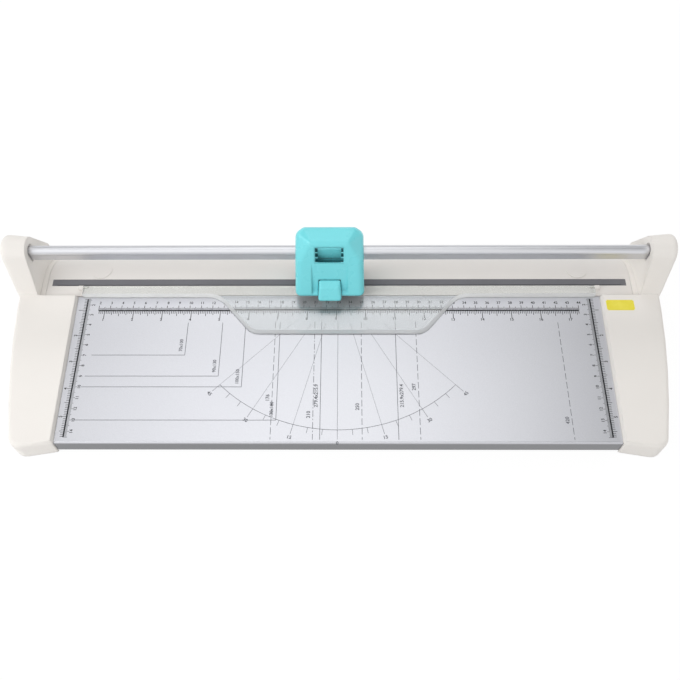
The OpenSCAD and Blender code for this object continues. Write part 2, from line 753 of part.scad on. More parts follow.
module carriage_hood() {
  half = hood_w / 2;
  slot = tab_w / 2 + 0.25;
  color("mediumturquoise") at_carriage() difference() {
    union() {
      difference() {
        hood_form(0);
        difference() {
          hood_form(hood_wall);
          panel_backing();
          // Wall between the rail and the blade
          box([-half, shoe_front - tunnel_t, shoe_low + 2], [half, shoe_front, roof]);
          // Wall behind the slider
          box([-half, shoe_back, skirt_low - 4], [half, hood_back, roof]);
        }
      }
      intersection() {
        hood_form(0);
        for (side = [-1, 1], y = [carriage_boss[1], carriage_boss[2]])
          translate([side * carriage_boss[0], y, skirt_low])
            cylinder(r = carriage_boss_r, h = shoe_low - skirt_low);
      }
    }
    recess_cut();
    window_cut();
    along_y(-half, shoe_front - tunnel_t - 6) polygon([
      [-slot, tab_low],
      [slot, tab_low],
      [slot - tab_taper, tab_high + 0.2],
      [-slot + tab_taper, tab_high + 0.2]
    ]);
    along_x(-half - 1, half + 1) rail_section(1.2);
    for (side = [-1, 1], y = [carriage_boss[1], carriage_boss[2]])
      translate([side * carriage_boss[0], y, base_top - 1])
        cylinder(r = screw_r + fit, h = carriage_screw_l + 1);
  }
}

// The block that runs on the rail, held inside the hood
module rail_slider() {
  reach = hood_w / 2 - hood_wall - 1.4;
  color("ivory") at_carriage() difference() {
    intersection() {
      along_x(-reach, reach) polygon(rounded([
        [shoe_front, shoe_low, 1],
        [shoe_back, shoe_low, 1],
        [shoe_back, shoe_high, 3],
        [shoe_front, shoe_high, 3]
      ]));
      // The upper corners follow the hood's shoulders
      along_y(0, hood_back) polygon([
        [-reach, shoe_low - 1],
        [reach, shoe_low - 1],
        [reach, shoe_high - shoe_corner],
        [reach - shoe_corner - 1.4, shoe_high + 1],
        [-reach + shoe_corner + 1.4, shoe_high + 1],
        [-reach, shoe_high - shoe_corner]
      ]);
      // The rear corners follow its rounded rear edges
      translate([0, 0, shoe_low - 1]) linear_extrude(shoe_high - shoe_low + 2) polygon(rounded([
        [-reach, 0, 0],
        [reach, 0, 0],
        [reach, shoe_back, 4],
        [-reach, shoe_back, 4]
      ]));
    }
    along_x(-reach - 1, reach + 1) rail_section(run);
    // Grease pockets, so that the block runs on its two ends
    along_x(-reach / 2, reach / 2) rail_section(0.6);
  }
}

// The bottom plate, with guides for the blade holder and a shroud behind the blade
module carriage_base() {
  reach = hood_w / 2 - 1.2;
  front = front_at(base_top + 2) + 1.7;
  color("teal") at_carriage() difference() {
    union() {
      translate([0, 0, hood_low]) linear_extrude(base_top - hood_low) polygon(rounded([
        [-reach, front, 4],
        [reach, front, 4],
        [reach, hood_back - 1.2, 4],
        [-reach, hood_back - 1.2, 4]
      ]));
      for (side = [-1, 1]) {
        box(
          [side > 0 ? holder_w / 2 + 0.1 : -holder_w / 2 - guide_t, -guide_front, hood_low],
          [
            side > 0 ? holder_w / 2 + guide_t : -holder_w / 2 - 0.1,
            -holder_back,
            ear_low - press_travel - 0.5
          ]
        );
        translate([side * spring_x, spring_y, base_top]) cylinder(r = 1.2, h = 4, $fn = 32);
      }
      box([-blade_r - 1, shroud_y, blade_low + 0.6], [blade_r + 1, shroud_y + hood_wall, base_top]);
    }
    box([-holder_w / 2 - 0.1, front - 1, hood_low - 1], [holder_w / 2 + 0.1, shroud_y, base_top + 1]);
    box([-blade_r - 0.8, -holder_back, hood_low - 1], [blade_r + 0.8, shroud_y, base_top + 1]);
    for (side = [-1, 1], y = [carriage_boss[1], carriage_boss[2]])
      translate([side * carriage_boss[0], y, hood_low - 1]) {
        cylinder(r = screw_r + fit, h = 5);
        cylinder(r = head_r + 0.2, h = 1 + head_h / 2);
      }
  }
}

module carriage_screws() {
  color("gray") at_carriage() for (side = [-1, 1], y = [carriage_boss[1], carriage_boss[2]])
    translate([side * carriage_boss[0], y, hood_low - head_h / 2])
      screw(screw_r, carriage_screw_l, head_r, head_h);
}

// Blade and its press

tab_low = holder_low - 0.3;
tab_high = holder_low + 14.4;
tab_taper = 0.8;

// Where the holder's leaning front is at a height
function holder_at(z) = -holder_front + holder_slope * max(0, z - holder_knee);

// The tab outside the hood, with the stem that reaches in to the holder
module press_tab() {
  proud = 4.6;
  soft = 2.4;   // radius of the outer edges
  edge = 1.4;   // radius where the tab passes the hood
  low_half = tab_w / 2;
  high_half = low_half - tab_taper;
  low_front = front_at(tab_low + 2) - proud;
  high_front = front_at(tab_high - 2.4) - proud;
  color("mediumturquoise") at_carriage() difference() {
    union() {
      hull() for (side = [-1, 1]) {
        translate([side * (low_half - soft), low_front + soft, tab_low + soft]) sphere(r = soft, $fn = 32);
        translate([side * (low_half - edge), low_front + proud + 1, tab_low + edge])
          sphere(r = edge, $fn = 24);
        translate([side * (high_half - soft), high_front + soft, tab_high - 2.4 - soft])
          sphere(r = soft, $fn = 32);
        translate([side * (high_half - edge), recess_at(tab_high) + 0.6 - edge, tab_high - edge])
          sphere(r = edge, $fn = 24);
      }
      along_x(-high_half + edge + 0.3, high_half - edge - 0.3) polygon([
        [-holder_front, tab_low + 0.3],
        [low_front + proud + 1, tab_low + 0.3],
        [recess_at(tab_high) + 1, tab_high - 0.3],
        [holder_at(tab_high - 0.3), tab_high - 0.3],
        [-holder_front, holder_knee]
      ]);
    }
    for (side = [-1, 1]) translate([side * tab_screw[0], -holder_front + 1, holder_low + tab_screw[1]])
      rotate([90, 0, 0]) cylinder(r = screw_r - 0.2 + fit, h = 6.5);
  }
}

module blade_holder() {
  color("dimgray") at_carriage() difference() {
    union() {
      along_x(-holder_w / 2, holder_w / 2) polygon([
        [-holder_front, holder_low],
        [-holder_back, holder_low],
        [-holder_back, holder_high],
        [holder_at(holder_high), holder_high],
        [-holder_front, holder_knee]
      ]);
      box([-ear_reach, spring_y - ear_half, ear_low], [ear_reach, spring_y + ear_half, ear_low + 3]);
      for (side = [-1, 1]) translate([side * spring_x, spring_y, ear_low - 2.5])
        cylinder(r = 1.2, h = 3, $fn = 32);
    }
    translate([0, 1, axle_z]) rotate([90, 0, 0]) cylinder(r = axle_r + fit, h = 20);
    translate([0, -nut_seat, axle_z]) rotate([90, 0, 0])
      cylinder(r = nut_af / sqrt(3) + 0.1, h = 10, $fn = 6);
    for (side = [-1, 1]) translate([side * tab_screw[0], 1, holder_low + tab_screw[1]]) rotate([90, 0, 0]) {
      cylinder(r = screw_r - 0.2 + fit, h = 16);
      cylinder(r = head_r + 0.1, h = 1 + holder_back + head_h + 0.1);
    }
  }
}

// Screws that hold the tab to the holder, put in from behind the blade
module tab_screws() {
  color("gray") at_carriage() for (side = [-1, 1])
    translate([side * tab_screw[0], -holder_back - 0.1, holder_low + tab_screw[1]]) rotate([90, 0, 0])
      screw(screw_r - 0.2, holder_front + 4 - head_h, head_r, head_h);
}

// The round blade, ground to an edge on both sides
module rotary_blade() {
  half_t = blade_t / 2;
  color("lightsteelblue") at_carriage() translate([0, 0, axle_z]) rotate([90, 0, 0])
    rotate_extrude($fn = 96) polygon([
      [axle_r + run, -half_t],
      [blade_r - 1.6, -half_t],
      [blade_r, -0.03],
      [blade_r, 0.03],
      [blade_r - 1.6, half_t],
      [axle_r + run, half_t]
    ]);
}

// The axle: its head is behind the blade and its end holds the nut
module blade_axle() {
  head_from = blade_t / 2 + side_gap;
  color("silver") at_carriage() translate([0, 0, axle_z]) difference() {
    union() {
      translate([0, head_from + 1.4, 0]) rotate([90, 0, 0]) cylinder(r = axle_r + 1.8, h = 1.4);
      translate([0, head_from, 0]) rotate([90, 0, 0])
        cylinder(r = axle_r, h = nut_seat + nut_t + head_from);
    }
    box([-axle_r, head_from + 0.8, -0.4], [axle_r, head_from + 2, 0.4]);
  }
}

module axle_nut() {
  color("gray") at_carriage() translate([0, -nut_seat, axle_z]) rotate([90, 0, 0]) difference() {
    cylinder(r = nut_af / sqrt(3), h = nut_t, $fn = 6);
    translate([0, 0, -1]) cylinder(r = axle_r + fit, h = nut_t + 2);
  }
}

module blade_washer() {
  color("silver") at_carriage() translate([0, -holder_back + washer_t, axle_z]) rotate([90, 0, 0])
    difference() {
      cylinder(r = axle_r + 2.2, h = washer_t);
      translate([0, 0, -1]) cylinder(r = axle_r + fit, h = washer_t + 2);
    }
}

// A coil spring between the bottom plate and one of the holder's ears
module return_spring(side) {
  rings = 14;
  sides = 6;
  steps = rings * spring_turns;
  high = ear_low - base_top - 2 * wire_r;
  points = [
    for (k = [0 : steps], s = [0 : sides - 1])
      let (
        a = 360 * k / rings,
        b = 360 * s / sides,
        out = spring_r + wire_r * cos(b)
      )
      [out * cos(a), out * sin(a), wire_r + high * k / steps + wire_r * sin(b)]
  ];
  walls = [
    for (k = [0 : steps - 1], s = [0 : sides - 1])
      let (
        a = k * sides + s,
        b = k * sides + (s + 1) % sides
      )
      each [[a, a + sides, b], [b, a + sides, b + sides]]
  ];
  first = [for (s = [0 : sides - 1]) s];
  last = [for (s = [sides - 1 : -1 : 0]) steps * sides + s];
  color("lightgray") at_carriage() translate([side * spring_x, spring_y, base_top])
    polyhedron(points, concat(walls, [first], [last]));
}

module left_spring() {
  return_spring(-1);
}

module right_spring() {
  return_spring(1);
}

base_plate();
left_plate_brace();
right_plate_brace();
rear_bed();
cutting_strip();
left_side_frame();
right_side_frame();
guide_rail();
rail_screws();
base_screws();
clear_guard();
guard_pins();
front_left_foot();
front_right_foot();
rear_left_foot();
rear_right_foot();
carriage_hood();
rail_slider();
carriage_base();
carriage_screws();
press_tab();
blade_holder();
tab_screws();
rotary_blade();
blade_axle();
axle_nut();
blade_washer();
left_spring();
right_spring();
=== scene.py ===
from math import atan, cos, radians, sin

import bmesh
import bpy
from mathutils import Matrix, Vector


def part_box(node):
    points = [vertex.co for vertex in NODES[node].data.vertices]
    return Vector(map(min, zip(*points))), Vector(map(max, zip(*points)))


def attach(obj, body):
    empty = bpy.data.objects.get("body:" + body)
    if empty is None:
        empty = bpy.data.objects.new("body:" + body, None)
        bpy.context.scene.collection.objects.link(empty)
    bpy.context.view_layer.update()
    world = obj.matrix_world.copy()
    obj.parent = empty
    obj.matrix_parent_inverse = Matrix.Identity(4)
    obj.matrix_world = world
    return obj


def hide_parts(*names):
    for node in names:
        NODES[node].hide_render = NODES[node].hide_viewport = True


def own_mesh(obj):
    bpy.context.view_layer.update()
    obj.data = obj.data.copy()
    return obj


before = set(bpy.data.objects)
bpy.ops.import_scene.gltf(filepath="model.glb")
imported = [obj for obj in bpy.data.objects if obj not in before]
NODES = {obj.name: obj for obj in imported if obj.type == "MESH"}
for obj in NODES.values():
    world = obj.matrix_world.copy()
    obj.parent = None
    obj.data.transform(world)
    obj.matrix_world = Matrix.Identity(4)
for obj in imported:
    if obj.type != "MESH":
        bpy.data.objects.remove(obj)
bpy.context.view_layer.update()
MM = 0.001

# Sizes that the printing and the trim share with the solids, in millimetres

LINE_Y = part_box("rotary_blade")[0].y / MM + 0.3  # the cutting line
PLATE_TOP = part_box("base_plate")[1].z / MM
PLATE_HALF = 230.0
CAP_TOP = PLATE_TOP + 4.5
ZERO_Y = LINE_Y - 0.8  # the zero line of the rulers
CARRIAGE_X = (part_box("carriage_hood")[0].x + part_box("carriage_hood")[1].x) / 2 / MM
WINDOW_Z = PLATE_TOP + 48.0
FRONT_TILT = atan(0.522)  # of the hood's sloping front

# Shader nodes


class Graph:
    """A node tree and short calls to add nodes to it."""

    def __init__(self, tree):
        self.tree = tree

    def add(self, kind, **values):
        node = self.tree.nodes.new("ShaderNode" + kind)
        for key, value in values.items():
            setattr(node, key, value)
        return node

    def link(self, a, b):
        self.tree.links.new(a, b)

    def fill(self, socket, value):
        """Links a socket, or sets a plain value."""
        if isinstance(value, bpy.types.NodeSocket):
            self.link(value, socket)
        else:
            socket.default_value = value

    def math(self, operation, *values):
        """A Math node on sockets and plain numbers."""
        node = self.add("Math", operation=operation)
        for socket, value in zip(node.inputs, values):
            self.fill(socket, value)
        return node.outputs["Value"]

    def product(self, first, *others):
        for other in others:
            first = self.math("MULTIPLY", first, other)
        return first

    def dot(self, place, axis):
        node = self.add("VectorMath", operation="DOT_PRODUCT")
        self.link(place, node.inputs[0])
        node.inputs[1].default_value = axis
        return node.outputs["Value"]

    def height(self, place):
        split = self.add("SeparateXYZ")
        self.link(place, split.inputs["Vector"])
        return split.outputs["Z"]

    def spread(self, value, low, high, start=0.0, end=1.0, **settings):
        """Maps start..end of a value to low..high."""
        node = self.add("MapRange", **settings)
        node.inputs["From Min"].default_value = start
        node.inputs["From Max"].default_value = end
        node.inputs["To Min"].default_value = low
        node.inputs["To Max"].default_value = high
        self.link(value, node.inputs["Value"])
        return node.outputs["Result"]

    def mix_shaders(self, factor, first, second):
        node = self.add("MixShader")
        self.fill(node.inputs["Fac"], factor)
        self.link(first, node.inputs[1])
        self.link(second, node.inputs[2])
        return node.outputs["Shader"]


class Nodes(Graph):
    """A material."""

    def __init__(self, name, **values):
        self.mat = bpy.data.materials.new(name)
        self.mat.use_nodes = True
        super().__init__(self.mat.node_tree)
        self.bsdf = self.tree.nodes["Principled BSDF"]
        self.surface = self.tree.nodes["Material Output"].inputs["Surface"]
        for key, value in values.items():
            self.bsdf.inputs[key.replace("_", " ")].default_value = value

    def feed(self, value, name="Base Color"):
        self.link(value, self.bsdf.inputs[name])

    def coords(self, scale=(1, 1, 1)):
        """Object coordinates, which are the row's own frame, in metres."""
        mapping = self.add("Mapping")
        mapping.inputs["Scale"].default_value = scale
        self.link(self.add("TexCoord").outputs["Object"], mapping.inputs["Vector"])
        return mapping.outputs["Vector"]

    def noise(self, scale, detail=2.0, stretch=(1, 1, 1)):
        node = self.add("TexNoise")
        node.inputs["Scale"].default_value = scale
        node.inputs["Detail"].default_value = detail
        self.link(self.coords(stretch), node.inputs["Vector"])
        return node.outputs["Fac"]

    def ramp(self, fac, *stops):
        """A ramp through two stops, each a position and a colour."""
        node = self.add("ValToRGB")
        for element, (at, colour) in zip(node.color_ramp.elements, stops):
            element.position = at
            element.color = colour
        self.link(fac, node.inputs["Fac"])
        return node.outputs["Color"]

    def mottled(self, fac, colour, darker, lighter, start=0.3, end=0.7):
        """A colour that varies from darker to lighter times itself."""
        return self.ramp(fac, (start, scaled(colour, darker)), (end, scaled(colour, lighter)))

    def multiply(self, first, second):
        node = self.add("Mix", data_type="RGBA", blend_type="MULTIPLY")
        node.inputs["Factor"].default_value = 1.0
        self.link(first, node.inputs["A"])
        self.link(second, node.inputs["B"])
        return node.outputs["Result"]

    def along(self, origin, axis):
        """How far a place is from the origin along an axis, in metres of the row's own frame."""
        shift = self.add("VectorMath", operation="SUBTRACT")
        self.link(self.coords(), shift.inputs[0])
        shift.inputs[1].default_value = origin
        return self.dot(shift.outputs["Vector"], axis)

    def above(self, value, mm):
        return self.math("GREATER_THAN", value, mm * MM)

    def below(self, value, mm):
        return self.math("LESS_THAN", value, mm * MM)

    def tint(self, factor, colour):
        """Lays a colour over the base colour where the factor is 1."""
        base = self.bsdf.inputs["Base Color"]
        node = self.add("Mix", data_type="RGBA")
        self.link(factor, node.inputs["Factor"])
        self.link(base.links[0].from_socket, node.inputs["A"])
        node.inputs["B"].default_value = colour
        self.link(node.outputs["Result"], base)

    def bump(self, height, strength, distance):
        node = self.add("Bump")
        node.inputs["Strength"].default_value = strength
        node.inputs["Distance"].default_value = distance
        self.link(height, node.inputs["Height"])
        self.feed(node.outputs["Normal"], "Normal")
        return node


# Materials


def lin(r, g, b):
    """A linear colour from an 8-bit one."""
    def one(c):
        c /= 255.0
        return c / 12.92 if c <= 0.04045 else ((c + 0.055) / 1.055) ** 2.4
    return (one(r), one(g), one(b), 1.0)


def scaled(colour, k):
    return (colour[0] * k, colour[1] * k, colour[2] * k, 1.0)


def plastic(name, colour, rough, grain, depth, mottle, coat=0.0, edge=0.0):
    """Moulded plastic: a fine spark-eroded grain, a faint unevenness of tone and edges that look
    rounded by the edge's radius, in millimetres."""
    n = Nodes(name, Roughness=rough, IOR=1.48, Coat_Weight=coat, Coat_Roughness=0.12)
    n.feed(n.mottled(n.noise(22.0, 3.0), colour, 1 - mottle, 1 + mottle * 0.6))
    n.feed(n.spread(n.noise(60.0), rough - 0.05, rough + 0.07), "Roughness")
    grain_bump = n.bump(n.noise(grain), 0.35, depth)
    if edge:
        soft = n.add("Bevel", samples=6)
        soft.inputs["Radius"].default_value = edge * MM
        n.link(soft.outputs["Normal"], grain_bump.inputs["Normal"])
    return n


def metal(name, colour, rough, grain, scale, depth=0.00001, mottle=0.08):
    """Metal with drawn or ground lines along the axis whose grain is smallest."""
    n = Nodes(name, Metallic=1.0, Roughness=rough)
    lines = n.noise(scale, 3.0, grain)
    n.feed(n.mottled(lines, colour, 1 - mottle, 1 + mottle, 0.25, 0.75))
    n.feed(n.spread(lines, rough * 0.8, rough * 1.3), "Roughness")
    n.bump(lines, 0.3, depth)
    return n.mat


def silver_paint():
    """Silver lacquer: fine flakes in the colour and a barely uneven coat, with painted shade that
    darkens the lip.
    """
    lip_painted_shade = 0.32
    lip_low, lip_high = 2.2, 0.7  # below the plate's top, where the painted shade on the lip is full and where it ends
    n = Nodes("silver_lacquer", Metallic=0.7, Roughness=0.32)
    flakes = n.noise(2600.0, 1.0)
    speckle = n.mottled(flakes, lin(206, 207, 212), 0.93, 1.05)
    cloud = n.ramp(n.noise(9.0), (0.3, (0.975, 0.975, 0.98, 1)), (0.7, (1, 1, 1, 1)))
    # Painted shade: below the top the colour darkens to the lip's share
    tone = n.spread(
        n.height(n.coords()), lip_painted_shade, 1.0,
        (PLATE_TOP - lip_low) * MM, (PLATE_TOP - lip_high) * MM,
    )
    n.feed(n.multiply(n.multiply(speckle, cloud), tone))
    n.bump(flakes, 0.12, 0.00002)
    return n.mat


def clear_plastic():
    """Clear sheet, a little milky, with milled, lightly frosted edges. Its shadow is faint."""
    flat_from, milled_to = 0.97, 0.9  # the normal's upward part, on the sheet and on its edges
    frost_to = -6.0  # from the cutting line: behind it the hinge's edges stay clear
    n = Nodes("clear_sheet", IOR=1.49, Specular_IOR_Level=0.4)
    upward = n.math("ABSOLUTE", n.height(n.add("TexCoord").outputs["Normal"]))
    tilt = n.spread(upward, 0.0, 1.0, flat_from, milled_to)
    before_hinge = n.below(n.along((0, LINE_Y * MM, 0), (0, 1, 0)), frost_to)
    frost = n.product(tilt, before_hinge)
    for socket, clear, milled in (("Roughness", 0.03, 0.4), ("Transmission Weight", 0.95, 0.45)):
        n.feed(n.spread(frost, clear, milled), socket)
    n.feed(n.ramp(frost, (0.0, (0.885, 0.9, 0.896, 1)), (1.0, (0.68, 0.69, 0.7, 1))))
    n.bump(n.noise(14.0), 0.04, 0.0004)
    faint = n.add("BsdfTransparent")
    faint.inputs["Color"].default_value = (0.99, 1.0, 1.0, 1)
    shadow = n.add("LightPath").outputs["Is Shadow Ray"]
    sheet = n.mix_shaders(shadow, n.bsdf.outputs["BSDF"], faint.outputs["BSDF"])
    n.link(sheet, n.surface)
    return n.mat


def hood_plastic():
    """The tab's plastic, with painted shade in the window of the hood: its shadowed interior,
    slot and notches are tinted dark.
    """
    half_wide, low, far = 12.1, -7.6, 13.0  # limits of the painted shade, from the window's centre
    notch_from, notch_top = 9.9, 7.3
    shelf_top = -6.9
    slot_top, slot_far = -4.0, 7.5
    notch_deep, shelf_deep, slot_deep = 1.1, 1.4, 3.5  # where each painted shade begins, inwards
    n = plastic("hood_moulding", TEAL_COLOUR, 0.27, 700.0, 0.00002, 0.02, coat=0.3, edge=2.4)
    centre = (CARRIAGE_X * MM, (LINE_Y - 2.0) * MM, WINDOW_Z * MM)
    deep = n.along(centre, (0, cos(FRONT_TILT), -sin(FRONT_TILT)))
    up = n.along(centre, (0, sin(FRONT_TILT), cos(FRONT_TILT)))
    across = n.math("ABSOLUTE", n.along(centre, (1, 0, 0)))
    near = n.product(n.below(across, half_wide), n.above(up, low), n.below(deep, far))
    notch = n.product(n.above(across, notch_from), n.below(up, notch_top))
    shelf = n.below(up, shelf_top)
    slot = n.product(n.below(up, slot_top), n.below(deep, slot_far))
    # Painted shade: darker teal where the window's notches, shelf and slot lie in shadow
    for mask, start, colour in (
        (notch, notch_deep, lin(52, 116, 122)),
        (shelf, shelf_deep, lin(96, 142, 148)),
        (slot, slot_deep, lin(38, 78, 82)),
    ):
        n.tint(n.product(near, n.above(deep, start), mask), colour)
    return n.mat


def ink(name, colour):
    """Screen-printed ink: matt, slightly uneven in cover."""
    n = Nodes(name, Roughness=0.6)
    n.feed(n.ramp(n.noise(700.0), (0.3, colour), (0.75, scaled(colour, 1.25))))
    return n.mat


def label_film():
    n = Nodes("yellow_label", Roughness=0.35, Coat_Weight=0.3)
    n.feed(n.ramp(n.noise(120.0), (0.3, lin(236, 222, 62)), (0.7, lin(243, 230, 84))))
    return n.mat


TEAL_COLOUR = lin(121, 226, 234)
CREAM = plastic("cream_moulding", lin(240, 236, 231), 0.5, 1100.0, 0.00003, 0.015, edge=1.8).mat
BED = plastic("bed_moulding", lin(232, 228, 224), 0.42, 1100.0, 0.00003, 0.015).mat
TEAL = plastic("teal_moulding", TEAL_COLOUR, 0.27, 700.0, 0.00002, 0.02, coat=0.3, edge=1.2).mat
STRIP = plastic("strip_plastic", lin(112, 112, 117), 0.5, 1500.0, 0.00003, 0.05).mat
DARK = plastic("dark_moulding", lin(98, 108, 111), 0.45, 900.0, 0.00004, 0.08).mat
IVORY = plastic("slider_plastic", lin(226, 222, 210), 0.35, 900.0, 0.00002, 0.02).mat
RUBBER = plastic("foot_rubber", lin(34, 34, 35), 0.8, 600.0, 0.00008, 0.1).mat
HOOD = hood_plastic()
RAIL = metal("drawn_rail", lin(214, 215, 219), 0.34, (0.02, 1, 1), 900.0, 0.000004, 0.03)
SHEET = metal("plain_sheet", lin(176, 178, 180), 0.4, (1, 0.05, 1), 500.0)
SCREW = metal("zinc_screw", lin(168, 170, 172), 0.35, (1, 1, 1), 800.0)
BLADE = metal("ground_blade", lin(196, 198, 201), 0.18, (1, 1, 0.05), 1400.0)
LACQUER = silver_paint()
CLEAR = clear_plastic()
BLACK_INK = ink("black_ink", lin(38, 39, 42))
GREY_INK = ink("grey_ink", lin(92, 94, 100))

NODE_MATERIALS = {
    "base_plate": LACQUER, "left_plate_brace": SHEET, "right_plate_brace": SHEET,
    "rear_bed": BED, "cutting_strip": STRIP, "left_side_frame": CREAM,
    "right_side_frame": CREAM, "guide_rail": RAIL, "rail_screws": SCREW,
    "base_screws": SCREW, "clear_guard": CLEAR, "guard_pins": IVORY,
    "front_left_foot": RUBBER, "front_right_foot": RUBBER, "rear_left_foot": RUBBER,
    "rear_right_foot": RUBBER, "carriage_hood": HOOD, "rail_slider": IVORY,
    "carriage_base": DARK, "carriage_screws": SCREW, "press_tab": TEAL,
    "blade_holder": DARK, "tab_screws": SCREW, "rotary_blade": BLADE,
    "blade_axle": SCREW, "axle_nut": SCREW, "blade_washer": SCREW,
    "left_spring": SCREW, "right_spring": SCREW,
}
for name, obj in NODES.items():
    obj.data.materials.clear()
    obj.data.materials.append(NODE_MATERIALS[name])


def place(name, mesh):
    """Puts a mesh in the scene as an object of its name."""
    obj = bpy.data.objects.new(name, mesh)
    bpy.context.scene.collection.objects.link(obj)
    return obj


# Printing on the plate

INCH = 25.4
ARC_RADIUS = 138.5  # of the protractor
TEXT_SIZE, TEXT_WEIGHT = 1.42, 0.03  # of the font and its bold offset, per height of a number


class Print:
    """Thin flat ink shapes on the plate. Places are millimetres from the plate's left edge and
    forwards from the rulers' zero line."""

    def __init__(self, name, material, lift=0.03):
        self.name = name
        self.material = material
        self.z = (PLATE_TOP + lift) * MM
        self.verts = []
        self.faces = []

    def point(self, x, y):
        return ((x - PLATE_HALF) * MM, (ZERO_Y - y) * MM, self.z)

    def quad(self, corners):
        start = len(self.verts)
        self.verts += [self.point(*c) for c in corners]
        self.faces.append((start, start + 1, start + 2, start + 3))

    def line(self, a, b, width):
        a = Vector(a)
        b = Vector(b)
        along = (b - a).normalized()
        side = Vector((-along.y, along.x)) * width / 2
        self.quad([a - side, b - side, b + side, a + side])

    def dashes(self, a, b, width, pattern):
        """A broken line; the pattern is pairs of ink and gap."""
        a = Vector(a)
        b = Vector(b)
        total = (b - a).length
        along = (b - a) / total
        at = 0.0
        k = 0
        while at < total:
            dash, gap = pattern[k % len(pattern)]
            self.line(a + along * at, a + along * min(at + dash, total), width)
            at += dash + gap
            k += 1

    def arc(self, centre, radius, start, end, width, steps=72):
        """Angles count from straight forwards, positive to the right."""
        ring = []
        for k in range(steps + 1):
            a = radians(start + (end - start) * k / steps)
            ring.append([
                (centre[0] + r * sin(a), centre[1] + r * cos(a))
                for r in (radius - width / 2, radius + width / 2)
            ])
        for (p, q), (r, s) in zip(ring, ring[1:]):
            self.quad([p, q, s, r])

    def text(self, words, x, y, height, turn=0.0):
        """Numbers centred on a place; turn is in degrees, counterclockwise from above."""
        curve = bpy.data.curves.new("label", "FONT")
        curve.body = words
        curve.align_x = "CENTER"
        curve.align_y = "CENTER"
        curve.size = height * TEXT_SIZE
        curve.offset = height * TEXT_WEIGHT
        curve.resolution_u = 3
        label = bpy.data.objects.new("label", curve)
        mesh = bpy.data.meshes.new_from_object(label)
        centre = Vector(self.point(x, y))
        spin = Matrix.Rotation(radians(turn), 3, "Z")
        start = len(self.verts)
        self.verts += [tuple(centre + spin @ (v.co * MM)) for v in mesh.vertices]
        self.faces += [tuple(start + i for i in p.vertices) for p in mesh.polygons]
        bpy.data.objects.remove(label)
        bpy.data.curves.remove(curve)
        bpy.data.meshes.remove(mesh)

    def make(self):
        mesh = bpy.data.meshes.new(self.name)
        mesh.from_pydata(self.verts, [], self.faces)
        bm = bmesh.new()
        bm.from_mesh(mesh)
        bmesh.ops.recalc_face_normals(bm, faces=bm.faces)
        for f in bm.faces:
            if f.normal.z < 0:
                f.normal_flip()
        bm.to_mesh(mesh)
        bm.free()
        mesh.materials.append(self.material)
        obj = place(self.name, mesh)
        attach(obj, "base")


def by_step(count, values):
    """The value of the first step that divides the count."""
    return next(value for step, value in values if count % step == 0)


def sixteenths(first, last):
    """The sixteenths of an inch between two places in millimetres."""
    return range(int(first / INCH * 16) + 1, int(last / INCH * 16) + 1)


def print_rulers():
    p = Print("ruler_print", BLACK_INK)
    cm_high, inch_high = 2.5, 2.6  # of the numbers

    # Across the plate: centimetres behind the line, inches before it
    rule, first, last = 25.8, 20, 440
    cm_ticks = ((10, (5.2, 0.5)), (5, (3.8, 0.42)), (1, (2.8, 0.42)))  # length and width
    inch_ticks = ((16, (8.2, 0.6)), (8, (5.6, 0.52)), (4, (4.4, 0.52)), (1, (3.2, 0.52)))
    cm_aside, cm_back = 0.6, 7.8
    inch_aside, inch_forward = 0.4, 9.2
    p.line((first, rule), (last, rule), 1.25)
    for mm in range(first, last + 1):
        long, width = by_step(mm, cm_ticks)
        p.line((mm, rule), (mm, rule - long), width)
        if mm % 10 == 0:
            p.text(str(mm // 10), mm + cm_aside, rule - cm_back, cm_high)
    for k in sixteenths(first, last):
        x = k * INCH / 16
        long, width = by_step(k, inch_ticks)
        p.line((x, rule), (x, rule + long), width)
        if k % 16 == 0:
            p.text(str(k // 16), x - inch_aside, rule + inch_forward, inch_high)

    # Along both sides: centimetres on the inner side, inches on the outer
    first, last = 14, 145
    cm_lengths, cm_width, cm_in = ((10, 4.2), (5, 3.4), (1, 2.6)), 0.34, 5.8
    inch_lengths, inch_width, inch_out = ((8, 4.0), (1, 2.8)), 0.42, 5.2
    for side, rule in ((-1, 9.1), (1, 450.8)):
        p.line((rule, first), (rule, last), 1.2)
        for mm in range(first, last + 1):
            p.line((rule, mm), (rule - side * by_step(mm, cm_lengths), mm), cm_width)
            if mm % 10 == 0:
                p.text(str(mm // 10), rule - side * cm_in, mm, cm_high, 90)
        for k in sixteenths(first, last):
            y = k * INCH / 16
            p.line((rule, y), (rule + side * by_step(k, inch_lengths), y), inch_width)
            if k % 16 == 0:
                p.text(str(k // 16), rule + side * inch_out, y, cm_high, 90)
    p.make()


def print_formats():
    p = Print("format_print", GREY_INK)
    top, low, width = 38.0, 147.0, 0.45

    # Formats, from the left edge: width and depth in millimetres
    words_in, words_back, words_high = 3.9, 9.5, 2.8
    for left, deep, wide, words in (
        (20.5, 70, 100, "70x100"),
        (18.0, 90, 130, "90x130"),
        (16.5, 100, 150, "100x150"),
        (14.0, 130, 180, "130x180"),
    ):
        p.line((left, deep), (wide, deep), width)
        p.line((wide, deep), (wide, top), width)
        p.text(words, wide - words_in, deep - words_back, words_high, 90)

    # Sheet widths
    solid = [(1000, 0)]
    dashed = [(6, 2.2)]
    dotted = [(6, 1.6), (1.2, 1.6)]
    words_aside, words_high = 3.6, 3.0
    for x, pattern, words, side, start in (
        (176, dashed, "176", -1, 110),
        (210, dotted, "210", -1, 125),
        (215.9, solid, "279.4x215.9", -1, 108),
        (250, dashed, "250", -1, 118),
        (279.4, solid, "215.9x279.4", 1, 108),
        (297, dashed, "297", -1, 100),
        (420, dashed, "420", -1, 130),
    ):
        p.dashes((x, top), (x, low), width, pattern)
        p.text(words, x + side * words_aside, start, words_high, 90)

    # Middle of the protractor
    p.line((PLATE_HALF, top), (PLATE_HALF, ARC_RADIUS - 0.5), 0.3)
    p.make()


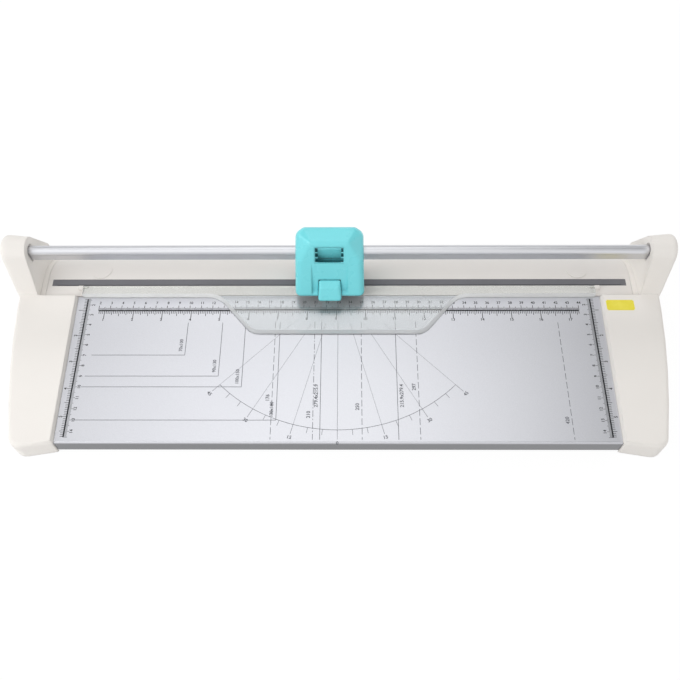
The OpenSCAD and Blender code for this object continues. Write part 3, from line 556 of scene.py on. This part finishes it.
def print_protractor():
    p = Print("protractor_print", GREY_INK, 0.02)
    radius, reach = ARC_RADIUS, 45
    ray_from = 40.0  # forwards of the centre
    number_out, number_high = 11.5, 2.9
    centre = Vector((PLATE_HALF, 0))
    p.arc(centre, radius, -reach, reach, 0.4)
    for a in range(-reach, reach + 1, 5):
        out = Vector((sin(radians(a)), cos(radians(a))))
        long = by_step(a, ((15, 8.5), (1, 5.0)))
        p.line(centre + radius * out, centre + (radius + long) * out, 0.35)
        if a % 15 == 0:
            p.text(str(abs(a)), *(centre + (radius + number_out) * out), number_high, a)
            if a:
                p.line(centre + ray_from / out.y * out, centre + radius * out, 0.22)
    p.make()


print_rulers()
print_formats()
print_protractor()


def blank_label():
    """A plain yellow film on the right side frame, its corners cut square."""
    left, right = 233.1, 257.1
    back, front = LINE_Y - 18.7, LINE_Y - 29.2
    thick, cut = 0.12, 0.8
    xs = (left, left + cut, right - cut, right)
    ys = (front, front + cut, back - cut, back)
    outline = (
        (0, 1), (1, 1), (1, 0), (2, 0), (2, 1), (3, 1),
        (3, 2), (2, 2), (2, 3), (1, 3), (1, 2), (0, 2),
    )
    n = len(outline)
    verts = [
        (xs[i] * MM, ys[j] * MM, z * MM) for z in (CAP_TOP, CAP_TOP + thick) for i, j in outline
    ]
    walls = [(k, (k + 1) % n, (k + 1) % n + n, k + n) for k in range(n)]
    mesh = bpy.data.meshes.new("blank_label")
    mesh.from_pydata(verts, [], [tuple(reversed(range(n))), tuple(range(n, 2 * n))] + walls)
    mesh.materials.append(label_film())
    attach(place("blank_label", mesh), "base")


blank_label()

# Smooth shading

SHARP_ANGLE = radians(28.0)


def smooth(obj):
    """Smooth shading by the larger faces, apart from edges sharper than the angle."""
    mesh = obj.data
    mesh.polygons.foreach_set("use_smooth", [True] * len(mesh.polygons))
    bm = bmesh.new()
    bm.from_mesh(mesh)
    sharp = [len(e.link_faces) != 2 or e.calc_face_angle(0.0) > SHARP_ANGLE for e in bm.edges]
    bm.free()
    if "sharp_edge" not in mesh.attributes:
        mesh.attributes.new("sharp_edge", "BOOLEAN", "EDGE")
    mesh.attributes["sharp_edge"].data.foreach_set("value", sharp)
    obj.modifiers.new("weighted_normals", "WEIGHTED_NORMAL").keep_sharp = True


for obj in NODES.values():
    smooth(obj)

# The return springs again, as copies that ride with the carriage


def shortening_spring(name):
    coil = place(name.replace("_", "_return_"), NODES[name].data.copy())
    smooth(coil)
    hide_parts(name)
    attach(coil, "carriage")
    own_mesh(coil)


shortening_spring("left_spring")
shortening_spring("right_spring")

# Floor

FLOOR_HALF = 6.0
FLOOR_GLOW = 1.04
GLOW_SHARE = 0.91  # the rest shows the soft shadow


def white_floor():
    """Seen directly, in metal or through the clear sheet, the floor is white apart from the soft
    shadow. Other rays see a plain pale floor."""
    n = Nodes("white_floor", Roughness=0.9, Base_Color=(0.8, 0.8, 0.8, 1), Specular_IOR_Level=0.1)
    glow = n.add("Emission")
    glow.inputs["Strength"].default_value = FLOOR_GLOW
    plain = n.bsdf.outputs["BSDF"]
    white = n.mix_shaders(GLOW_SHARE, plain, glow.outputs["Emission"])
    rays = n.add("LightPath").outputs
    seen = n.math("MAXIMUM", rays["Is Camera Ray"], rays["Is Glossy Ray"])
    seen = n.math("MAXIMUM", seen, rays["Is Transmission Ray"])
    n.link(n.mix_shaders(seen, plain, white), n.surface)
    s = FLOOR_HALF
    mesh = bpy.data.meshes.new("floor")
    mesh.from_pydata([(-s, -s, 0), (s, -s, 0), (s, s, 0), (-s, s, 0)], [], [(0, 1, 2, 3)])
    mesh.materials.append(n.mat)
    place("floor", mesh)


white_floor()

# Lights: place, target, size in metres, power in watts and colour

SOFTBOXES = {
    "softbox_key": ((-0.9, -0.55, 0.85), (-0.05, 0, 0), (1.3, 1.1), 8.9, (1, 1, 1)),
    "softbox_rear": ((-0.2, 1.8, 0.9), (0, 0, 0), (1.4, 0.5), 9, (1, 1, 1)),
    "softbox_fill": ((1.5, -0.25, 0.45), (0, 0, 0), (0.8, 0.4), 2.4, (1, 0.97, 0.93)),
}


def softbox(name, where, target, size, power, colour):
    """A soft lamp that metal and gloss don't mirror."""
    lamp = bpy.data.lights.new(name, "AREA")
    lamp.shape = "RECTANGLE"
    lamp.size, lamp.size_y = size
    lamp.energy = power
    lamp.color = colour
    obj = place(name, lamp)
    obj.location = where
    obj.rotation_euler = (Vector(target) - Vector(where)).to_track_quat("-Z", "Y").to_euler()
    obj.visible_glossy = False


for name, settings in SOFTBOXES.items():
    softbox(name, *settings)

# What metal and gloss mirror: white low down, a dim ceiling and soft bright patches

DIFFUSE_LEVEL = 0.6
CEILING = 0.15
BACKDROP_TOP, CEILING_FROM = 0.35, 0.78  # heights, as the sine of the angle above the horizon
PATCHES = (  # direction, half angle and gain
    ((-0.06, 0.37, 0.93), 27.5, 1.76),
    ((-0.2, -0.5, 0.86), 45, 1.2),
    ((-0.8, -0.1, 0.6), 20, 4.0),
)


def studio_world():
    """Even white light, white to the camera. Rays that left a matt surface see it even."""
    world = bpy.data.worlds.new("studio")
    world.use_nodes = True
    bpy.context.scene.world = world
    g = Graph(world.node_tree)
    soft = {"interpolation_type": "SMOOTHERSTEP"}
    toward = g.add("TexCoord").outputs["Generated"]
    studio = g.spread(g.height(toward), 1.0, CEILING, BACKDROP_TOP, CEILING_FROM, **soft)
    for direction, reach, gain in PATCHES:
        nearness = g.dot(toward, Vector(direction).normalized())
        patch = g.spread(nearness, 0.0, gain, cos(radians(reach)), 1.0, **soft)
        studio = g.math("ADD", studio, patch)
    rays = g.add("LightPath").outputs
    direct = g.math("LESS_THAN", rays["Diffuse Depth"], 0.5)
    light = DIFFUSE_LEVEL
    for ray, level in (
        ("Is Glossy Ray", studio), ("Is Transmission Ray", studio), ("Is Camera Ray", 1.0),
    ):
        pick = g.add("Mix", data_type="FLOAT")
        g.link(g.product(rays[ray], direct), pick.inputs["Factor"])
        g.fill(pick.inputs["A"], light)
        g.fill(pick.inputs["B"], level)
        light = pick.outputs["Result"]
    back = g.tree.nodes["Background"]
    back.inputs["Color"].default_value = (1, 1, 1, 1)
    g.link(light, back.inputs["Strength"])


studio_world()

# Camera, solved from the ruler's marks

CAMERA = Vector((8.8, ZERO_Y - 395.8, PLATE_TOP + 605.3)) * MM
RIGHT = Vector((0.99995, 0.00470, -0.00893))
UP = Vector((0.000281, 0.87160, 0.49022))
FORWARD = Vector((-0.01009, 0.49020, -0.87155))
FOCAL_PX, IMAGE_PX = 810.85, 680
SENSOR = 36.0

cam = bpy.data.cameras.new("camera")
cam.sensor_width = SENSOR
cam.lens = FOCAL_PX / IMAGE_PX * SENSOR
cam.clip_start = 0.01
cam_obj = place("camera", cam)
turn = Matrix((RIGHT, UP, -FORWARD)).transposed().to_4x4()
cam_obj.matrix_world = Matrix.Translation(CAMERA) @ turn
bpy.context.scene.camera = cam_obj
bpy.context.scene.view_settings.view_transform = "Standard"
